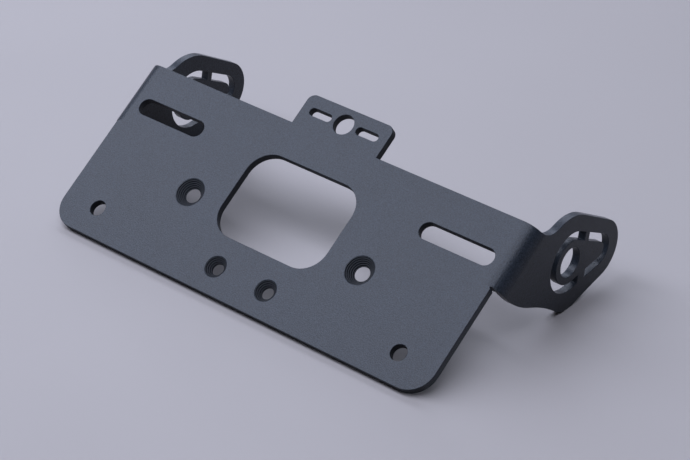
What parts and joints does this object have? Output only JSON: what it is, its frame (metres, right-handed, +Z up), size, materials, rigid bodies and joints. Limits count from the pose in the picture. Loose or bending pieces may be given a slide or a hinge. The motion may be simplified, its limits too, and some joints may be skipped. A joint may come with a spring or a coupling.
{
  "type": "tail tidy",
  "caption": "Folded sheet metal bracket that holds a motorcycle's number plate on a windowed, slotted plate and its direction indicators on swept side ears.",
  "frame": {"origin": "middle of the footprint, on the surface that the part lies on", "axes": "+Z up as it lies on its two heels and its lower back edge; +X to the part's right side as seen from the front; -Y to the plate's lower edge, so that the plate's front faces up and towards -Y"},
  "size_m": [0.2084, 0.1242, 0.0579],
  "materials": {
    "powder_coat": "fine satin powder coat"
  },
  "bodies": {
    "root": {"folded_plate": "powder_coat"}
  },
  "joints": []
}
